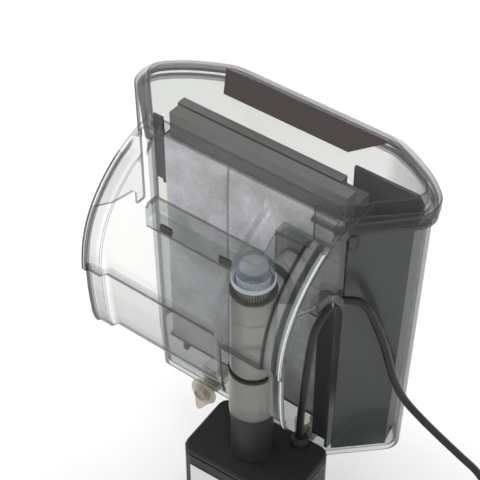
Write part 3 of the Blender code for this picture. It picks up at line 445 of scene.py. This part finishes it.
def on_skirt(c, n):
    return c.z > SKIRT_Z and abs(n.z) < 0.35


def on_border(c, n):
    lower_edge = c.z < SLOPE_FOOT_Z and abs(n.z) > 0.6
    return c.y < SLOPE_Y and c.z < SLOPE_TOP_Z and abs(n.x) < 0.85 and not lower_edge


def on_left_border(c, n):
    return c.x < LEFT_END_X and on_border(c, n)


def on_right_border(c, n):
    return c.x > RIGHT_END_X and on_border(c, n)


def on_step(c, n):
    return STEP_FROM_X < c.x < STEP_TO_X and on_border(c, n)


def on_panel_top(c, n):
    return c.z > PANEL_TOP_Z and n.z > 0.6


def on_left_web(c, n):
    inner_face = abs(c.x - WEB_INSIDE_X) < SAME_PLANE
    outer_face = abs(c.x - WEB_OUTSIDE_X) < SAME_PLANE and abs(n.x) > 0.9
    return c.z < WEB_TOP_Z and (inner_face or outer_face)


def knob_drop(c):
    """Depth of a point below the crown of the knob."""
    return max(p.co.z for p in nodes["flow_knob"].data.vertices) - c.z


def on_knob_rim(c, n):
    return RIM_DROP < knob_drop(c) < KNOB_SKIRT_DROP


def on_knob_skirt(c, n):
    return knob_drop(c) > KNOB_SKIRT_DROP


def on_knob_window(c, n):
    return knob_drop(c) < WINDOW_DROP and n.z < -0.3


# ---------------------------------------------------------------- light and floor
def make_studio():
    world = bpy.data.worlds.new("studio")
    scene.world = world
    world.use_nodes = True
    back = world.node_tree.nodes["Background"]
    back.inputs["Color"].default_value = (1.0, 1.0, 1.0, 1.0)
    back.inputs["Strength"].default_value = 0.85
    for name, place, aim, size, power in (
            ("key", (-1.7, -0.3, 1.1), (0.0, 0.0, 0.0), 0.8, 16.0),
            ("fill", (1.3, -0.9, 1.1), (0.0, 0.0, -0.05), 1.2, 6.0),
            ("rim", (0.5, 1.5, 0.9), (0.0, 0.0, 0.0), 0.7, 8.0)):
        data = bpy.data.lights.new(name, "AREA")
        data.size = size
        data.energy = power
        lamp = bpy.data.objects.new(name, data)
        lamp.location = place
        lamp.rotation_euler = (Vector(aim) - Vector(place)).to_track_quat("-Z", "Y").to_euler()
        scene.collection.objects.link(lamp)
    mesh = bpy.data.meshes.new("floor")
    half = 4.0
    z = FLOOR_Z - 0.0002
    corners = [(-half, -half, z), (half, -half, z), (half, half, z), (-half, half, z)]
    mesh.from_pydata(corners, [], [(0, 1, 2, 3)])
    floor = add_object("floor", mesh, opaque("floor_white", (0.93, 0.93, 0.93), 0.9, specular=0.1))
    scene.view_settings.view_transform = "Standard"
    scene.cycles.transparent_max_bounces = 32


# ---------------------------------------------------------------- soft media
def soft_block(name, low, high, steps, crown, waves, mat):
    """Closed soft slab: a dense box whose faces belly out and carry a woolly surface."""
    bm = bmesh.new()
    bmesh.ops.create_cube(bm, size=1.0)
    size = high - low
    mid = (low + high) / 2
    bmesh.ops.scale(bm, vec=size, verts=bm.verts)
    bmesh.ops.translate(bm, vec=mid, verts=bm.verts)
    for axis, cuts in enumerate(steps):
        edges = [e for e in bm.edges
                 if abs((e.verts[0].co - e.verts[1].co)[axis]) > 1e-6
                 and all(abs((e.verts[0].co - e.verts[1].co)[o]) < 1e-6 for o in range(3) if o != axis)]
        bmesh.ops.subdivide_edges(bm, edges=edges, cuts=cuts, use_grid_fill=True)
    for v in bm.verts:
        u = (v.co.x - mid.x) / (size.x / 2)
        w = (v.co.z - mid.z) / (size.z / 2)
        edge = max(0.0, 1.0 - abs(u) ** 14) * max(0.0, 1.0 - abs(w) ** 14)
        across = (v.co.y - mid.y) / (size.y / 2)
        pull = 1.0 - crown * (1.0 - edge)
        ripple = waves(v.co.x, v.co.z) if abs(across) > 0.98 else 0.0
        v.co.y = mid.y + across * (size.y / 2) * (pull - ripple)
    bmesh.ops.recalc_face_normals(bm, faces=bm.faces)
    mesh = bpy.data.meshes.new(name)
    bm.to_mesh(mesh)
    bm.free()
    ob = add_object(name, mesh, mat)
    mesh.shade_smooth()
    return ob


def wool_waves(x, z):
    """How far the face of the wool sinks, as a share of half its thickness: seam and soft lumps."""
    seam = math.exp(-((x - SEAM_X) / 0.0016) ** 2) * 0.30
    along = 1 + math.sin(x * 310.0 + 1.7 * math.sin(z * 190.0))
    up = 1 + math.sin(z * 260.0 + 2.0 * math.sin(x * 150.0))
    return seam + 0.015 * along * up


def carbon_waves(x, z):
    """The same for the carbon bag: close bumps where the grains press through."""
    along = 1 + math.sin(x * 1100.0 + 2.0 * math.sin(z * 700.0))
    up = 1 + math.sin(z * 1250.0 + 1.3 * math.sin(x * 900.0))
    return 0.025 * along * up


def make_media():
    wool_mat = wool_material()
    low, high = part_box("wool_mat")
    wool = soft_block("wool_pad", low, high, (70, 3, 84), 0.45, wool_waves, wool_mat)
    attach(wool, "front_cartridge")
    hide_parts("wool_mat")
    bag_mat = opaque("carbon_grains", (0.10, 0.10, 0.105), 0.9, grain=1.0, grain_size=700.0,
                     specular=0.3, speckle=0.6)
    low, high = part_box("carbon_pouch")
    bag = soft_block("carbon_bag", low, high, (60, 3, 76), 0.5, carbon_waves, bag_mat)
    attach(bag, "rear_cartridge")
    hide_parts("carbon_pouch")


# ---------------------------------------------------------------- assemble
make_camera()

CORD_SHEATH = opaque("cord_sheath", (0.010, 0.010, 0.010), 0.34, grain=0.08, grain_size=2400.0,
                     specular=0.3)
make_cord(CORD_SHEATH)

CLEAR = see_through("clear_acrylic", (0.945, 0.945, 0.94), (0.50, 0.50, 0.50))
# painted shade: dark tint for the cut edges and narrow steps of the clear plastic, standing in for the
# dark refraction along them
CLEAR_EDGE_SHADE = see_through("clear_acrylic_edge_shade", (0.34, 0.34, 0.34), (0.16, 0.16, 0.16),
                         0.10, (0.45, 0.45, 0.45))
# painted shade: a darker copy of the clear plastic for the lid's upright side faces
CLEAR_SIDE_SHADE = see_through("clear_acrylic_side_shade", (0.66, 0.66, 0.66), (0.30, 0.30, 0.30),
                         0.04, (0.45, 0.45, 0.45))
CASE = see_through("case_acrylic", (0.88, 0.89, 0.88), (0.40, 0.41, 0.40),
                   0.012, (0.45, 0.47, 0.46))
# painted shade: dark tint for the case's cut edges and chamfers, standing in for the dark refraction along
# them
CASE_EDGE_SHADE = see_through("case_acrylic_edge_shade", (0.40, 0.41, 0.40), (0.20, 0.20, 0.20),
                        0.10, (0.50, 0.52, 0.52))
TUBE = see_through("tube_acrylic", (0.88, 0.88, 0.865), (0.30, 0.30, 0.28),
                   0.13, (0.74, 0.74, 0.70), 0.08)
# painted shade: dark tint for the tube's cut edges, standing in for the dark refraction along them
TUBE_EDGE_SHADE = see_through("tube_edge_shade", (0.30, 0.30, 0.29), (0.15, 0.15, 0.145),
                        0.2, (0.45, 0.45, 0.42))
GRIP = see_through("knob_grip", (0.60, 0.60, 0.56), (0.40, 0.40, 0.36),
                   0.45, (0.66, 0.66, 0.60), 0.10)
CLEAR_THIN = see_through("clear_acrylic_thin", (0.985, 0.985, 0.98), (0.85, 0.85, 0.85), 0.005)
KNOB = see_through("knob_acrylic", (0.82, 0.86, 0.90), (0.25, 0.30, 0.38),
                   0.09, (0.66, 0.72, 0.80), 0.05)
# painted highlight: a white hazy ring on the bevel of the clear knob
KNOB_RIM_HIGHLIGHT = see_through("knob_rim_highlight", (0.85, 0.87, 0.90), (0.60, 0.62, 0.66),
                       0.55, (0.80, 0.83, 0.88), 0.10)
# painted shade: a darker grey copy of the knob plastic for the lower side wall of the cap
KNOB_SKIRT_SHADE = see_through("knob_skirt_shade", (0.55, 0.55, 0.54), (0.25, 0.25, 0.25),
                         0.08, (0.40, 0.40, 0.40), 0.10)
CLEAR_STEP = see_through("clear_acrylic_step", (0.93, 0.935, 0.93), (0.50, 0.51, 0.51), 0.01, gloss=0.35)
# painted shade lines and painted highlight lines across the sloped borders of the hood and the panel
BORDER = (0.945, 0.95, 0.945)
BORDER_SIDE = (0.30, 0.31, 0.31)
LEFT_BORDER = see_through(
    "hood_left_border", BORDER, BORDER_SIDE, side=-1,
    shade=((50.0, 1.0), (51.8, 0.34), (53.3, 1.0), (56.2, 0.92), (61.6, 0.34), (62.9, 1.0), (63.7, 0.45)),
    haze_and_painted_highlight=((50.0, 0.01), (53.3, 0.05), (56.2, 0.04), (61.6, 0.01), (62.9, 0.4), (63.7, 0.01)))
RIGHT_BORDER = see_through(
    "hood_right_border", BORDER, BORDER_SIDE, side=1,
    shade=((50.0, 1.0), (57.2, 0.40), (58.5, 0.90), (62.4, 0.52), (66.0, 0.9), (70.6, 0.5)),
    haze_and_painted_highlight=((50.0, 0.01), (58.5, 0.12), (62.4, 0.03), (66.0, 0.25), (68.2, 0.85), (69.6, 0.25),
          (70.6, 0.03)))
PANEL_BORDER = see_through(
    "panel_left_border", BORDER, BORDER_SIDE, side=-1,
    shade=((50.0, 1.0), (51.6, 0.34), (53.2, 1.0), (61.8, 0.5)),
    haze_and_painted_highlight=((50.0, 0.01), (53.2, 0.03), (61.8, 0.02)))
PAD = see_through("pad_plastic", (0.80, 0.77, 0.70), (0.50, 0.48, 0.43),
                  0.38, (0.70, 0.67, 0.59), 0.15)
DARK_FRAME = opaque("dark_frame", (0.150, 0.146, 0.143), 0.3, grain=0.05, specular=0.4)
DARK_PLATE = opaque("dark_plate", (0.070, 0.073, 0.073), 0.3, specular=0.4)
BLACK = opaque("pump_black", (0.020, 0.020, 0.021), 0.42, grain=0.10, grain_size=1800.0, specular=0.2)
RUBBER = opaque("rubber", (0.012, 0.012, 0.013), 0.55, grain=0.12, grain_size=1500.0, specular=0.3)
LABEL = opaque("lid_label", (0.040, 0.031, 0.030), 0.35, specular=0.25)
PUMP_LABEL = opaque("pump_label", (0.62, 0.62, 0.61), 0.4)
STEEL = opaque("blade_metal", (0.75, 0.70, 0.55), 0.22, metallic=1.0)
CERAMIC = opaque("ceramic", (0.85, 0.84, 0.80), 0.25)
MAGNET = opaque("magnet", (0.09, 0.09, 0.10), 0.5, grain=0.2)
IMPELLER = opaque("impeller", (0.70, 0.72, 0.75), 0.35)
RESIN = opaque("potting_resin", (0.04, 0.04, 0.05), 0.2)
SPONGE = opaque("sponge", (0.05, 0.05, 0.055), 0.95, grain=1.0, grain_size=600.0, speckle=0.5)

FINISH = {
    "main_case": CASE, "media_tray": DARK_PLATE, "inlet_duct": CASE, "rear_baffle": DARK_PLATE,
    "lid_hood": CLEAR, "flow_guide_panel": CLEAR, "cord_clip": CLEAR,
    "front_cartridge_frame": DARK_FRAME, "rear_cartridge_frame": DARK_FRAME,
    "riser_tube": TUBE, "lower_sleeve": TUBE, "flow_valve": TUBE, "flow_knob": KNOB,
    "level_adjuster_left": PAD, "level_adjuster_right": PAD, "level_pad_left": PAD, "level_pad_right": PAD,
    "pump_cover": BLACK, "pump_housing": BLACK, "volute_casing": BLACK, "strainer_base": BLACK,
    "cable_gland": RUBBER, "elbow_gasket": RUBBER, "knob_o_ring": RUBBER, "sleeve_seal": RUBBER,
    "glass_shim_1": RUBBER, "glass_shim_2": RUBBER, "glass_shim_3": RUBBER, "coil_tie": RUBBER,
    "plug_strain_relief": RUBBER, "plug_body": CORD_SHEATH,
    "plug_blade_left": STEEL, "plug_blade_right": STEEL,
    "lid_label": LABEL, "pump_label": PUMP_LABEL,
    "rotor_shaft": CERAMIC, "front_bush": CERAMIC, "rear_bush": CERAMIC,
    "stator_block": RESIN, "impeller": IMPELLER, "rotor_magnet": MAGNET, "strainer_sponge": SPONGE,
}
for node_name, finish in FINISH.items():
    paint(node_name, finish)
# painted shade along the cut edges and narrow steps of the clear parts
for node_name in ("lid_hood", "flow_guide_panel", "cord_clip"):
    edge_tint(node_name, CLEAR_EDGE_SHADE)
# painted shade on the lid's upright side faces
rule_tint("lid_hood", CLEAR_SIDE_SHADE, on_skirt)
rule_tint("lid_hood", CLEAR_STEP, on_step)
# painted shade lines and painted highlight lines across the hood's sloped borders
rule_tint("lid_hood", LEFT_BORDER, on_left_border)
rule_tint("lid_hood", RIGHT_BORDER, on_right_border)
rule_tint("lid_hood", CLEAR_THIN, on_left_web)
# painted shade lines across the panel's borders, with painted highlight lines on its right border
rule_tint("flow_guide_panel", PANEL_BORDER, on_left_border)
rule_tint("flow_guide_panel", RIGHT_BORDER, on_right_border)
rule_tint("flow_guide_panel", CLEAR, on_panel_top)
# painted highlight ring on the knob's rim
rule_tint("flow_knob", KNOB_RIM_HIGHLIGHT, on_knob_rim)
# painted shade on the knob's lower skirt
rule_tint("flow_knob", KNOB_SKIRT_SHADE, on_knob_skirt)
rule_tint("flow_knob", GRIP, on_knob_window)
# painted shade along the cut edges and chamfers of the case and the duct
edge_tint("main_case", CASE_EDGE_SHADE, 0.0037)
edge_tint("inlet_duct", CASE_EDGE_SHADE)
# painted shade along the cut edges of the tube, the sleeve and the valve
for node_name in ("riser_tube", "lower_sleeve", "flow_valve"):
    edge_tint(node_name, TUBE_EDGE_SHADE, 0.0017)

make_media()
make_studio()
